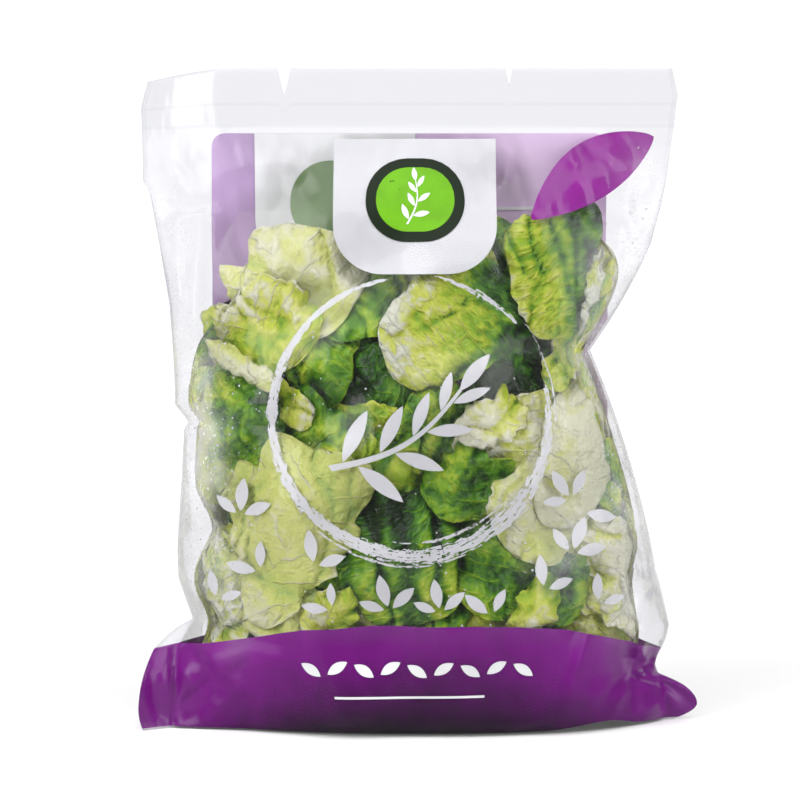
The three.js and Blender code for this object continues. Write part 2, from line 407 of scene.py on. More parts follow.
def panelHalf(panel, s, x, z, body, span, fineShare=1.0):  # half depth of the filled body
    across = clamp01(np.abs(s * span) / body)
    low = np.minimum(z, bag["baseRound"])
    turn = bag["baseRound"] - np.sqrt(bag["baseRound"] ** 2 - (bag["baseRound"] - low) ** 2)
    share = bag["frontShare"] if panel < 0 else bag["backShare"]
    bulge = share * (sagAt(z) - turn) * (1 - across ** bag["power"]) ** bag["root"]
    soft = smoothStep(0, 14, bulge) * smoothStep(0, 14, z)
    relief = (foldSum(panel, x, z) + lumpAt(panel, x, z)) * soft
    if fineShare:
        fine = creaseSum(panel, x, z) + crinkleAt(panel, x, z)
        relief = relief + fine * smoothStep(0, 5, bulge) * smoothStep(0, 6, z)
    return np.hypot(np.maximum(0, bulge + relief), bag["wall"])


def skinPoints(panel, s, z):
    body, span = bagSpans(s, z)
    x = middleAt(z) + s * span
    half = panelHalf(panel, s, x, z, body, span)
    droop = bag["droop"]
    notch = 0 * x
    for centre, width, depth in bag["notches"]:
        notch = np.maximum(notch, depth * clamp01(1 - np.abs(x - centre) / (width / 2)))
    fall = droop["depth"] * clamp01((-1 + droop["reach"] - s) / droop["reach"]) ** 1.6
    share = clamp01((z - bag["headerStart"]) / (bag["height"] - bag["headerStart"]))
    height = z - share * (fall + notch)
    wave = 0.5 * smoothNoise(x / 9, z / 30, 21) * share  # the header isn't quite flat
    return np.stack([x, weldPlaneAt(s, z) + panel * half + wave, height], -1)


def shareAt(x, z):  # where x lies between the welds, from -1 to 1
    s = x - middleAt(z)
    left = bodyHalfAt(-1, z) + earAt(-1, z)
    right = bodyHalfAt(1, z) + earAt(1, z)
    return np.clip(np.where(s < 0, s / left, s / right), -1, 1)


def filmY(panel, x, z, fineShare=1.0):  # where the film lies in y, behind a place on it
    z = np.clip(z, 0.0, bag["headerStart"])
    s = shareAt(x, z)
    body, span = bagSpans(s, z)
    return weldPlaneAt(s, z) + panel * panelHalf(panel, s, x, z, body, span, fineShare)


# the film

filmMesh = {"columns": 150, "lowStep": 1.3, "step": 1.55, "lowTop": 60, "roundSteps": 9}


def filmRows():
    rows = [bag["baseRound"] * (1 - math.cos(i / filmMesh["roundSteps"] * math.pi / 2))
            for i in range(filmMesh["roundSteps"])]
    rows += list(np.arange(bag["baseRound"], filmMesh["lowTop"], filmMesh["lowStep"]))
    count = round((bag["headerStart"] - filmMesh["lowTop"]) / filmMesh["step"])
    rows += list(np.linspace(filmMesh["lowTop"], bag["headerStart"], count, endpoint=False))
    rows += list(np.linspace(bag["headerStart"], bag["height"], 13))
    return np.array(rows)


def filmColumns():
    shares = list(np.linspace(-1, 1, filmMesh["columns"] + 1))
    for centre, width, depth in bag["notches"]:
        for offset in (-width / 2, 0, width / 2):
            share = float(shareAt(np.array(centre + offset + 0.0), np.array(281.9)))
            shares = [v for v in shares if abs(v - share) > 0.004] + [share]
    return np.array(sorted(shares))


# patches inside the film: x, height, reach across, reach up, strength
filmDamp = {
    "fogFront": [(-91, 132, 8, 34, 0.8), (-88, 94, 9, 24, 0.5), (-84, 60, 12, 22, 0.6),
                 (60, 76, 14, 16, 0.5), (70, 120, 16, 30, 0.3), (88, 88, 12, 26, 0.35),
                 (88, 52, 13, 18, 0.45), (-60, 196, 18, 16, 0.2), (74, 178, 7, 24, 0.9),
                 (64, 160, 8, 10, 0.4), (84, 104, 10, 18, 0.6), (98, 214, 14, 34, 0.55),
                 (10, 150, 20, 26, 0.08)],
    "fogBack": [(-70, 120, 26, 40, 0.5), (64, 90, 24, 30, 0.45), (0, 150, 30, 24, 0.2)],
    "drops": [(-80, 124, 20, 26, 1.0), (-86, 70, 12, 20, 0.5), (58, 78, 12, 12, 1.0),
              (92, 214, 8, 26, 0.8), (74, 150, 10, 16, 0.6), (-60, 160, 30, 14, 0.25),
              (84, 108, 8, 20, 0.5), (-20, 120, 60, 60, 0.1), (-20, 60, 80, 14, 0.12)],
    "edgeFog": 0.5, "dropsFrom": 45,
}


def dampSum(key, x, z):
    return sum(depth * np.exp(-(((x - cx) / rx) ** 2 + ((z - cz) / rz) ** 2))
               for cx, cz, rx, rz, depth in filmDamp[key])


def hazeAt(key, x, z):  # fog, also along the welds
    edge = smoothStep(0.78, 0.97, np.abs(shareAt(x, z)))
    edge = edge * smoothStep(36, 56, z) * (1 - smoothStep(222, 250, z))
    return clamp01((dampSum(key, x, z) + filmDamp["edgeFog"] * edge)
                   * (0.8 + 0.3 * smoothNoise(x / 7, z / 7, 31)))


def dewAt(x, z):  # where drops hang, from 0 to 1
    return clamp01(dampSum("drops", x, z) * (0.6 + 0.8 * smoothNoise(x / 5, z / 5, 17))) \
        * (z > filmDamp["dropsFrom"])


filmLook = {  # heights in mm
    "tint": (240, 240, 242), "weldTint": (176, 177, 184), "fogTint": (236, 236, 240),
    "bend": 1.29, "roughness": 0.13, "foldTurn": 24, "foldStretch": 0.22,
    "sealLines": (257, 266.5), "header": (256, 259), "foot": (36, 50), "footGloss": 0.14,
}


def makeFilm():
    rows, columns = filmRows(), filmColumns()
    s, z = np.meshgrid(columns, rows)
    front, back = skinPoints(-1, s, z), skinPoints(1, s, z)[:, ::-1]
    points = np.concatenate([front, back], 1)
    ring = points.shape[1]
    faces = [gridFaces(len(rows), ring, wrap=True)]
    count = len(columns)
    i = np.arange(count - 1)
    for start, up in ((0, False), ((len(rows) - 1) * ring, True)):
        a, b = start + i, start + i + 1
        c, d = start + ring - 2 - i, start + ring - 1 - i
        faces.append(np.stack([a, b, c, d] if up else [a, d, c, b], -1))
    x, h = points[..., 0], points[..., 2]
    isFront = np.arange(ring) < count
    haze = np.where(isFront, hazeAt("fogFront", x, h), hazeAt("fogBack", x, h))
    dew = np.where(isFront, dewAt(x, h), 0.12 * dewAt(x, h))
    across = np.concatenate([np.abs(s), np.abs(s)], 1)
    return makeMesh("bag_film", points.reshape(-1, 3), np.concatenate(faces),
                    {"haze": haze, "slack": slackAt(x, h), "dew": dew, "side": across,
                     "rise": np.concatenate([z, z], 1) * mm})


def filmMaterial():
    book = NodeBook("clearFilm")
    place = book.place()
    haze = book.attribute("haze")
    slack = book.attribute("slack")
    stretched = book.add("Mapping", {"vector_type": "POINT"}, {
        "Vector": place, "Rotation": (0, math.radians(filmLook["foldTurn"]), 0),
        "Scale": (1.0, 1.0, filmLook["foldStretch"])})
    long = book.noise(stretched, 160, 1.0)
    normal = book.bump(long * (slack * 0.8 + 0.25), 0.55, 0.0012)
    clear = book.add("BsdfTransparent", None, {"Color": colour(*filmLook["tint"])})
    gloss = book.add("BsdfGlossy", {"distribution": "GGX"},
                     {"Color": (1, 1, 1, 1), "Roughness": filmLook["roughness"],
                      "Normal": normal})
    edge = book.number("Fresnel", None, {"IOR": filmLook["bend"], "Normal": normal})
    facing = book.number("LayerWeight", None, {"Blend": 0.5, "Normal": normal}, 1)
    side = book.attribute("side")
    rise = book.attribute("rise") * 1000
    weld = book.spread(side, 0.975, 0.985)
    low, high = ((rise - line).size() for line in filmLook["sealLines"])
    seal = 1 - book.spread(high.atMost(low), 0.3, 1.2)
    header = book.spread(rise, *filmLook["header"])
    deeper = book.add("BsdfTransparent", None, {"Color": colour(*filmLook["weldTint"])})
    shadeLine = (facing ** 3.0 * 0.2 + weld * 0.05 + seal * 0.035 + header * 0.03).atMost(0.6)
    clear = book.mixShaders(shadeLine, clear, deeper)
    ears = book.spread(side, 0.74, 0.9)
    printed = book.spread(rise, *filmLook["foot"], ears * 0.75 + filmLook["footGloss"], 1.0)
    shiny = book.mixShaders((edge * printed).atMost(0.4), clear, gloss)
    milk = book.add("BsdfDiffuse", None, {"Color": colour(*filmLook["fogTint"])})
    speck = book.spread(book.noise(place, 900, 0.0), 0.68, 0.8)
    patch = book.spread(book.noise(place, 60, 1.0), 0.3, 0.75)
    cover = haze * (0.10 + 0.25 * patch + 0.35 * speck) + 0.005
    return book.finish(book.mixShaders(cover.atMost(0.8), shiny, milk))


# drops of water inside the film

waterDrops = {
    "tree": {"density": 150000.0, "smallest": 0.00016, "largest": 0.0006, "flatness": 0.45,
             "inside": 0.00025, "seed": 4},  # inputs of the node tree, in metres
    "tint": (226, 232, 226), "milk": (244, 246, 246), "bend": 1.6, "roughness": 0.08,
}


def dropMaterial():
    book = NodeBook("waterDrop")
    clear = book.add("BsdfTransparent", None, {"Color": colour(*waterDrops["tint"])})
    ripple = book.noise(book.place(), 900, 1.0)
    normal = book.bump(ripple, 0.2, 0.0002)
    gloss = book.add("BsdfGlossy", None, {
        "Color": (1, 1, 1, 1), "Roughness": waterDrops["roughness"], "Normal": normal})
    milk = book.add("BsdfDiffuse", None, {"Color": colour(*waterDrops["milk"])})
    edge = book.number("Fresnel", None, {"IOR": waterDrops["bend"], "Normal": normal})
    wet = book.mixShaders((edge * 1.6).atMost(0.9), clear, gloss)
    return book.finish(book.mixShaders(0.3 + ripple * 0.4, wet, milk))


def makeDrops(film):
    material = dropMaterial()
    book = GeometryBook("dropsOnFilm", waterDrops["tree"])
    dew = book.number("GeometryNodeInputNamedAttribute", {"data_type": "FLOAT"},
                      {"Name": "dew"})
    spots = book.add("GeometryNodeDistributePointsOnFaces", None, {
        "Mesh": book.entry.outputs["Geometry"], "Density": dew * book.given("density"),
        "Seed": book.given("seed")})
    scatter = spots.node
    inward = book.add("VectorMath", {"operation": "SCALE"}, {
        0: scatter.outputs["Normal"], "Scale": book.given("inside") * -1.0})
    moved = book.add("GeometryNodeSetPosition", None, {"Geometry": spots, "Offset": inward})
    chance = book.number("FunctionNodeRandomValue", {"data_type": "FLOAT"},
                         {"Seed": book.given("seed")}, 1)
    size = book.given("smallest") + (book.given("largest") - book.given("smallest")) \
        * chance ** 3.0
    ball = book.add("GeometryNodeMeshUVSphere", None, {"Segments": 7, "Rings": 4, "Radius": 1.0})
    shape = book.add("CombineXYZ", None, {0: size, 1: size, 2: size * book.given("flatness")})
    drops = book.add("GeometryNodeInstanceOnPoints", None, {
        "Points": moved, "Instance": ball, "Rotation": scatter.outputs["Rotation"],
        "Scale": shape})
    solid = book.add("GeometryNodeRealizeInstances", None, {"Geometry": drops})
    smooth = book.add("GeometryNodeSetShadeSmooth", None, {"Geometry": solid})
    coloured = book.add("GeometryNodeSetMaterial", None, {"Geometry": smooth,
                                                          "Material": material})
    finishPiece(book.grow(film, coloured, "water_drops"), material)


# leaves: thin solids of both faces, pressed against the inside of the film

leafKinds = {  # sizes in mm; widest and base are shares of the length and of the width
    "romaine": {"base": 0.62, "widest": 0.6, "wobble": 0.16, "bump": 1.5, "cell": 5.4,
                "ruffle": 1.8, "waves": 5, "frill": 1.6, "rib": (1.4, 1.5, 0.2),
                "veins": 7.0, "veinLift": 0.7, "wave": 2.8, "fold": (2.8, 9, 20),
                "toneAlong": -0.08, "toneAcross": 0.03, "marginTone": 0.02,
                "wrinkle": 0.15, "pale": 0.0, "glow": (128, 190, 26)},
    "heart": {"base": 0.66, "widest": 0.58, "wobble": 0.19, "bump": 1.1, "cell": 5.6,
              "ruffle": 3.0, "waves": 7, "frill": 1.7, "rib": (1.2, 2.6, 0.16),
              "veins": 7.5, "veinLift": 0.5, "wave": 3.0, "fold": (3.2, 7, 18),
              "toneAlong": -0.1, "toneAcross": 0.04, "marginTone": -0.03,
              "wrinkle": 0.12, "pale": 0.0, "glow": (222, 230, 56)},
    "iceberg": {"base": 0.7, "widest": 0.55, "wobble": 0.12, "bump": 0.5, "cell": 8.0,
                "ruffle": 2.0, "waves": 6, "frill": 1.1, "rib": (0.8, 4.5, 0.06),
                "veins": 12, "veinLift": 0.35, "wave": 3.0, "fold": (2.4, 11, 30),
                "toneAlong": -0.04, "toneAcross": 0.02, "marginTone": -0.03,
                "wrinkle": 0.07, "pale": 0.34, "glow": (240, 240, 150)},
    "curly": {"base": 0.66, "widest": 0.6, "wobble": 0.2, "bump": 1.6, "cell": 4.4,
              "ruffle": 3.4, "waves": 9, "frill": 1.8, "rib": (0.9, 1.6, 0.14),
              "veins": 6, "veinLift": 0.5, "wave": 2.8, "fold": (3.0, 6, 12),
              "toneAlong": -0.1, "toneAcross": 0.04, "marginTone": 0.06,
              "wrinkle": 0.16, "pale": 0.0, "glow": (160, 206, 34)},
    "rib": {"base": 0.92, "widest": 0.5, "wobble": 0.1, "bump": 0.3, "cell": 6.0,
            "ruffle": 0.8, "waves": 3, "frill": 0.4, "rib": (2.2, 5.0, 0.16),
            "veins": 14, "veinLift": 0.2, "wave": 1.6, "fold": (0.9, 4, 30),
            "toneAlong": 0.06, "toneAcross": 0.05, "marginTone": -0.12,
            "wrinkle": 0.05, "pale": 0.0, "glow": (186, 216, 50)},
}

# kind, place on the front (x, height), depth behind the film, turn, (length, width), tone
frontLeaves = [
    ("iceberg", (-55, 191), 2.6, -14, (54, 50), 0.9,
     dict(cup=6, tilt=(2, 2), wave=1.6, frill=0.4, wobble=0.07)),
    ("iceberg", (-71, 186), 3.4, -30, (30, 24), 1.0, dict(cup=4, tilt=(1, 2))),
    ("heart", (-66, 170), 2.0, -28, (40, 42), 0.78, dict(cup=3, toneAlong=0.16, tilt=(-1, 1))),
    ("heart", (-84, 165), 3.2, -8, (28, 20), 0.9, dict(cup=4)),
    ("iceberg", (-76, 155), 1.6, -58, (38, 10), 0.92, dict(cup=4, tilt=(1, 0), ruffle=3)),
    ("romaine", (-64, 157), 4.5, -30, (36, 34), 0.32, dict(cup=3)),
    ("romaine", (-80, 125), 2.2, -6, (62, 40), 0.41,
     dict(cup=5, bump=1.9, tilt=(1, 0), toneAcross=-0.26)),
    ("heart", (-62, 140), 2.2, -66, (38, 16), 0.68, dict(cup=3, ruffle=3.4)),
    ("heart", (-42, 130), 2.4, -58, (44, 20), 0.42, dict(cup=4, ruffle=3.6, toneAcross=-0.2)),
    ("romaine", (-43, 165), 3.0, 8, (58, 30), 0.38,
     dict(cup=4, bump=1.4, ribShow=1.8, shift=2, fold=(4.2, 6, 26), pleatPaintedShade=0.5)),
    ("romaine", (-27, 160), 5.0, 24, (46, 34), 0.2, dict(cup=4, bump=1.2)),
    ("heart", (-30, 184), 2.6, -14, (38, 40), 0.5, dict(cup=5, toneAlong=0.12, bump=0.9)),
    ("heart", (-12, 186), 5.0, 20, (34, 24), 0.54, dict(cup=3)),
    ("romaine", (14, 170), 2.2, 72, (66, 48), 0.54,
     dict(cup=6, toneAlong=-0.42, toneAcross=-0.14, tilt=(3, 2), bump=0.9, shift=-6)),
    ("heart", (13, 186), 4.5, 60, (46, 30), 0.86, dict(cup=4, ruffle=3)),
    ("romaine", (60, 193), 1.6, 5, (60, 44), 0.44,
     dict(cup=6, toneAcross=-0.2, bump=1.8, ribShow=0.7, shift=-8, tilt=(0, 3))),
    ("curly", (73, 182), 1.2, 12, (40, 6), 0.98, dict(cup=2, marginTone=0.1)),
    ("curly", (64, 160), 1.6, 30, (36, 17), 0.56, dict(cup=3, bump=2.2, marginTone=0.3)),
    ("romaine", (49, 166), 5.5, 34, (44, 30), 0.02, dict(cup=4, bump=1.4)),
    ("romaine", (8, 146), 6.5, 96, (56, 30), 0.0, dict(cup=4)),
    ("romaine", (-14, 144), 4.5, -40, (46, 36), 0.16, dict(cup=4)),
    ("romaine", (32, 146), 4.8, 16, (34, 26), 0.12, dict(cup=4, bump=1.6)),
    ("romaine", (8, 126), 3.0, 12, (40, 34), 0.48, dict(cup=4, fold=(3.2, 6, 24))),
    ("heart", (-20, 128), 3.6, -80, (38, 18), 0.68, dict(cup=3, ruffle=3.4)),
    ("rib", (-33, 112), 2.6, 40, (44, 13), 0.54, dict(cup=2)),
    ("rib", (-23, 110), 3.4, 33, (42, 12), 0.5, dict(cup=2)),
    ("rib", (-12, 110), 2.6, 38, (44, 13), 0.55, dict(cup=2)),
    ("rib", (-1, 109), 3.6, 30, (36, 12), 0.54, dict(cup=2)),
    ("romaine", (-22, 118), 5.6, 80, (44, 30), 0.26, dict(cup=2)),
    ("heart", (39, 118), 2.2, 34, (54, 46), 0.96,
     dict(cup=5, ruffle=3, toneAcross=0.06, fold=(3.4, 9, 22), tilt=(0, -1))),
    ("heart", (30, 131), 1.9, 62, (32, 18), 0.9, dict(cup=3, ruffle=3.4)),
    ("iceberg", (66, 121), 1.8, 4, (68, 34), 1.08, dict(cup=5, wave=2.4, toneAcross=0.0)),
    ("romaine", (81, 103), 2.6, 10, (40, 22), 0.42, dict(cup=3, bump=1.5, toneAcross=0.2)),
    ("iceberg", (50, 92), 1.8, 20, (40, 36), 0.92, dict(cup=4, toneAlong=0.04)),
    ("romaine", (33, 82), 2.4, -10, (66, 44), 0.36,
     dict(cup=4, bump=0.8, shift=3, fold=(2.8, 10, 30), tilt=(2, -1))),
    ("romaine", (20, 106), 1.9, 40, (36, 30), 0.42, dict(cup=4, bump=0.8)),
    ("heart", (77, 73), 2.0, -14, (46, 34), 0.9, dict(cup=5, toneAlong=0.08)),
    ("heart", (68, 90), 2.6, -40, (34, 24), 0.92, dict(cup=3)),
    ("romaine", (58, 60), 1.9, 14, (30, 24), 0.36, dict(cup=3, bump=0.6)),
    ("heart", (46, 52), 1.6, 40, (30, 18), 0.78, dict(cup=2)),
    ("heart", (80, 52), 2.8, -70, (34, 18), 0.94, dict(cup=2)),
    ("romaine", (-12, 76), 1.9, 2, (58, 56), 0.26,
     dict(cup=5, bump=0.6, toneAlong=-0.2, fold=(4.0, 5, 60), shift=-7, tilt=(2, 0),
          pleatPaintedShade=0.55, veins=20, wobble=0.08)),
    ("romaine", (5, 62), 3.0, -6, (44, 34), 0.36, dict(cup=3, fold=(3.4, 5, 40), pleatPaintedShade=0.5)),
    ("iceberg", (-56, 80), 1.4, 20, (78, 54), 0.74,
     dict(cup=5, toneAlong=-0.06, wave=2, base=0.24, widest=0.84, fold=(3.0, 8, 40), frill=2.2,
          wobble=0.16)),
    ("iceberg", (-70, 96), 2.0, -46, (34, 26), 0.9, dict(cup=4)),
    ("iceberg", (-62, 56), 2.2, 40, (34, 34), 0.78, dict(cup=3)),
    ("curly", (-84, 66), 2.0, -24, (44, 28), 0.78, dict(cup=4)),
    ("curly", (-80, 50), 3.0, 40, (34, 28), 0.66, dict(cup=2)),
    ("heart", (-38, 51), 1.5, 78, (26, 20), 0.78, dict(cup=2, ruffle=3)),
    ("romaine", (-66, 104), 4.8, 30, (44, 34), 0.24, dict(cup=3)),
    ("iceberg", (-20, 50), 3.0, 84, (44, 22), 0.8, dict(cup=2)),
    ("heart", (20, 50), 3.4, -70, (40, 22), 0.68, dict(cup=2)),
    ("heart", (17, 201), 7.0, -40, (40, 32), 0.74, dict(cup=3)),
    ("iceberg", (-34, 192), 6.0, 10, (42, 36), 0.98, dict(cup=3)),
    ("romaine", (36, 200), 6.0, -14, (36, 26), 0.4, dict(cup=2)),
]

leafFill = {
    "seed": 11, "wall": 0.4, "heroStep": 1.35, "fillStep": 3.6, "backStep": 2.5,
    "clear": 0.8, "press": 1.2, "knee": 0.6, "floor": 4.5, "gap": 0.5, "dip": 0.9,
    # top of the leaf mass: x, height
    "top": [(-110, 150), (-92, 172), (-86, 184), (-78, 188), (-68, 196), (-50, 206),
            (-30, 206), (0, 203), (30, 203), (44, 213), (58, 221), (74, 216), (90, 200),
            (110, 180)],
    # layers behind the front leaves: panel, depth, steps across and up, tone, its spread, mesh
    "layers": [(-1, 10, 25, 24, 0.26, 0.2, "fillStep"), (-1, 24, 34, 32, 0.30, 0.2, "fillStep"),
               (1, 3.5, 25, 24, 0.45, 0.28, "backStep"), (1, 13, 30, 28, 0.25, 0.2, "fillStep")],
    "length": (44, 66), "slim": (0.62, 0.85), "turn": 70, "paleAside": 0.42,
    # what keeps the leaves off the left and the right weld: inset, dents (depth, height, reach)
    "inset": {-1: (4.0, 5, 60, [(9, 84, 12)]), 1: (3.0, 6, 50, [(9, 52, 18), (4, 215, 25)])},
    # colours from a dark to a pale tone, and what the "pale" share of a kind is mixed with
    "tones": [(0.0, (16, 40, 6)), (0.16, (40, 88, 12)), (0.32, (82, 138, 20)),
              (0.46, (132, 176, 32)), (0.58, (176, 202, 48)), (0.7, (212, 222, 76)),
              (0.82, (230, 233, 116)), (0.92, (238, 237, 190)), (1.0, (248, 245, 228))],
    "paleTint": (214, 218, 181), "shine": 0.34,
}


def massTop(x):
    spots = np.array(leafFill["top"])
    return np.interp(x, spots[:, 0], spots[:, 1])


def massHalf(side, z):  # the leaves stop short of the side welds
    inset, foot, footTop, dents = leafFill["inset"][side]
    inset = inset + foot * smoothStep(footTop, 20, z)
    for depth, height, reach in dents:
        inset = inset + depth * np.exp(-((z - height) / reach) ** 2)
    return bodyHalfAt(side, z) - inset


def leafSheet(spec):
    # one leaf as a grid in its own frame: a runs from the cut base to the tip, b across;
    # with its coarse and fine relief towards the viewer, tone with painted shade on its relief,
    # rib and vein lines
    kind = dict(leafKinds[spec["kind"]], **spec.get("own", {}))
    length, width = spec["size"]
    step, seed = spec["step"], spec["seed"]
    rows, columns = max(6, round(length / step)) + 1, max(6, round(width / step)) + 1
    u, v = np.linspace(0, 1, rows)[:, None], np.linspace(-1, 1, columns)[None, :]
    side = np.where(v < 0, 1.7, 6.1)
    rise = np.sin(np.pi / 2 * clamp01(u / kind["widest"])) ** 0.8
    fall = np.sqrt(np.maximum(0.0, 1 - (clamp01(u - kind["widest"])
                                        / (1 - kind["widest"])) ** 2.4))
    foot = np.sqrt(1 - (1 - clamp01(u / 0.16)) ** 2)
    outline = (kind["base"] + (1 - kind["base"]) * rise) * np.maximum(fall, 0.05) \
        * (0.4 + 0.6 * foot)
    uneven = 1 + kind["wobble"] * (1.3 * smoothNoise(u * 3 + side, side * 3, seed)
                                   + 0.5 * smoothNoise(u * 8 + side, side * 5, seed + 1))
    bend = 0.16 * width * smoothNoise(u * 1.7, 0.5, seed + 12)
    b = v * width / 2 * outline * uneven + bend
    a = (u - 0.5) * length + length * 0.1 * (0.4 + u) \
        * smoothNoise(b / width * 3.2, 0.3, seed + 2)
    around = np.arctan2(b / width, a / length + 0.05)
    margin = np.maximum(smoothStep(0.45, 1.0, np.abs(v)), smoothStep(0.72, 1.0, u))
    margin = margin * smoothStep(-0.1, 0.35, u)
    flutter = smoothNoise(around * 1.6 + 3, 0.5, seed + 3) * 2.2 + seed
    wave = np.sin(kind["waves"] * around + flutter) \
        + 0.5 * np.sin(kind["waves"] * 2.3 * around + 1.7 * flutter)
    ruffle = kind["ruffle"] * margin ** 1.5 * wave
    torn = smoothNoise(around * 5 + 9, 0.7, seed + 5) + 0.6 * smoothNoise(around * 12, 3.1, seed)
    pull = margin ** 2 * (kind["frill"] * (0.5 * wave - torn))
    lift, ribWidth, _ = kind["rib"]
    ribWidth = ribWidth * (1 - 0.7 * u) + 0.3
    shift = kind.get("shift", 0.9 * (hashUnit(seed, 3.0, 1.0) - 0.5)) * width / 2
    spine = b - shift * (1 - 0.3 * u) - 0.06 * width * np.sin(3 * u + seed)
    rib = np.exp(-(spine / ribWidth) ** 2) * (1 - 0.8 * u) * kind.get("ribShow", 1.0)
    flow = (a - 0.8 * np.abs(spine) ** 0.93) / kind["veins"] + np.where(spine < 0, 0.5, 0.0) \
        + 0.3 * smoothNoise(a / 11, b / 11, seed + 4) + 0.12 * smoothNoise(a / 4, b / 4, seed)
    veins = (0.5 - 0.5 * np.cos(2 * np.pi * flow)) ** 6 * (1 - rib) * (1 - 0.6 * margin)
    puff = cellBorder(b / kind["cell"] + 0.4 * smoothNoise(a / 6, b / 6, seed),
                      a / kind["cell"] * 0.85, seed) ** 0.7
    puff = puff * (1 - rib) * (1 - 0.4 * margin)
    deep, acrossFold, alongFold = kind["fold"]
    warp = 0.8 * smoothNoise(a / 13, b / 13, seed + 8)
    crease = smoothNoise(b / acrossFold + warp + 0.25 * a / acrossFold, a / alongFold, seed + 9)
    pleat = clamp01(np.abs(crease) * 2.2) ** 0.8  # narrow valleys between soft ridges
    crumple = smoothNoise(a / 5.5 + warp * 2, b / 4.5, seed + 10)
    crumple = 1 - clamp01(np.abs(crumple) * 2.6)  # sharp ridges between soft hollows
    broad = kind["wave"] * (smoothNoise(a / 19 + seed, b / 15, seed + 6)
                            + 0.5 * smoothNoise(a / 9, b / 8 + seed, seed + 7))
    coarse = ruffle + lift * rib + broad
    fine = kind["veinLift"] * veins + kind["bump"] * (puff - 0.5) + deep * (pleat - 0.6) \
        + 0.22 * deep * crumple * (1 - rib)
    edge = np.maximum(smoothStep(0.9, 1.0, np.abs(v)), smoothStep(0.95, 1.0, u))
    # the tone holds painted shade: puffs, ridges and raised ruffles lighter, pleat valleys darker
    tone = spec["tone"] + kind["toneAlong"] * (2 * u - 1) + kind["toneAcross"] * v \
        + kind["marginTone"] * margin + 0.16 * (puff - 0.6) * min(1, kind["bump"]) \
        + kind.get("pleatPaintedShade", 0.3) * (pleat - 0.8) + 0.07 * crumple + 0.012 * ruffle \
        + 0.1 * edge
    return (a + pull * np.cos(around), b + pull * np.sin(around), coarse, fine, tone,
            rib + 0 * tone, spine + 0 * tone, flow + 0 * tone)


class LeafStack:
    # how deep the leaves reach so far, on a 1 mm grid of (x, height), for one panel
    def __init__(self):
        self.low = (-130, -5)
        self.reach = np.zeros((260, 245))

    def cells(self, x, z):
        i = np.clip(np.round(x - self.low[0]).astype(int), 0, self.reach.shape[0] - 1)
        k = np.clip(np.round(z - self.low[1]).astype(int), 0, self.reach.shape[1] - 1)
        return i, k

    def spread(self, field, steps, slope):  # each place also rules its surroundings, less
        for _ in range(steps):
            wide = np.pad(field, 1, mode="edge")
            for dx in (0, 1, 2):
                for dz in (0, 1, 2):
                    part = wide[dx:dx + field.shape[0], dz:dz + field.shape[1]]
                    field = np.maximum(field, part - slope * math.hypot(dx - 1, dz - 1))
        return field

    def needed(self, x, z):  # the least depth of a leaf that lies behind all of these
        field = self.spread(self.reach, 7, leafFill["dip"])
        wide = np.pad(field, 1, mode="edge")
        soft = sum(wide[dx:dx + field.shape[0], dz:dz + field.shape[1]]
                   for dx in (0, 1, 2) for dz in (0, 1, 2)) / 9
        return soft[self.cells(x, z)] + leafFill["gap"]

    def add(self, x, z, depth):
        mark = np.zeros_like(self.reach)
        np.maximum.at(mark, self.cells(x, z), depth + leafFill["wall"])
        self.reach = np.maximum(self.reach, self.spread(mark, 1, 0.3))


def softMax(first, second, knee):
    return second + softPlus(first - second, knee)


def settleLeaf(spec, stack):
    # puts a leaf in the bag, behind the film and behind the leaves that lie there already
    a, b, coarse, fine, tone, rib, spine, flow = leafSheet(spec)
    length, width = spec["size"]
    own = spec.get("own", {})
    tilt, cup = own.get("tilt", (0, 0)), own.get("cup", 3)
    turn = math.radians(spec["turn"])
    panel = spec["panel"]
    x = spec["at"][0] + a * math.sin(turn) + b * math.cos(turn)
    z = spec["at"][1] + a * math.cos(turn) - b * math.sin(turn)
    na, nb = a / (length / 2), b / (width / 2)
    depth = spec["depth"] + tilt[0] * na + tilt[1] * nb - coarse + cup * nb ** 2 \
        + 0.5 * cup * na ** 2
    z = leafFill["floor"] + softPlus(z - leafFill["floor"], 1.2)
    if spec["filler"]:
        top = massTop(x) - 4
        z = top - softPlus(top - z, 3.0)
        z = np.maximum(z, leafFill["floor"])
    middle = middleAt(z)
    half = np.where(x < middle, massHalf(-1, z), massHalf(1, z))
    t = np.abs(x - middle) / half
    tone = tone + 0.34 * smoothStep(0.88, 1.0, t)  # paler towards the side welds
    t = np.where(t < 0.88, t, 0.88 + 0.1 * (1 - np.exp(-(t - 0.88) / 0.1)))
    x = middle + np.sign(x - middle) * t * half
    near = filmY(panel, x, z, 0)
    room = np.abs(filmY(-panel, x, z, 0) - near)
    low = np.minimum(leafFill["clear"], room * 0.4)
    needed = stack.needed(x, z)
    crown = 0.7 * float(np.max(fine))
    depth = softMax(depth, low + crown, leafFill["press"])
    depth = softMax(depth, needed + crown, leafFill["knee"])
    depth = softMax(depth - fine, np.maximum(low, needed), 0.3)
    limit = np.maximum(room - low, room * 0.5)
    depth = limit - softPlus(limit - depth, leafFill["knee"])
    stack.add(x, z, depth)
    # painted shade: darker where the leaf lies deep, and darker still where it dips close behind
    # the leaves in front
    tone = tone - 0.06 * clamp01((depth - 5) / 8) - 0.12 * np.exp(-np.abs(depth - needed) / 0.8)
    y = near - panel * depth
    rim = filmY(panel, x, z, 1)
    y = np.maximum(y, rim + 0.6) if panel < 0 else np.minimum(y, rim - 0.6)
    rim = filmY(-panel, x, z, 1)
    y = np.minimum(y, rim - 0.6) if panel < 0 else np.maximum(y, rim + 0.6)
    points = np.stack([x, y, z], -1)
    place = np.stack([spine * mm, a * mm, np.full_like(b, spec["seed"] * 0.137 % 3.0)], -1)
    return points, {"leafPlace": place.reshape(-1, 3), "leafTone": tone.ravel(),
                    "leafRib": rib.ravel(), "leafFlow": flow.ravel()}


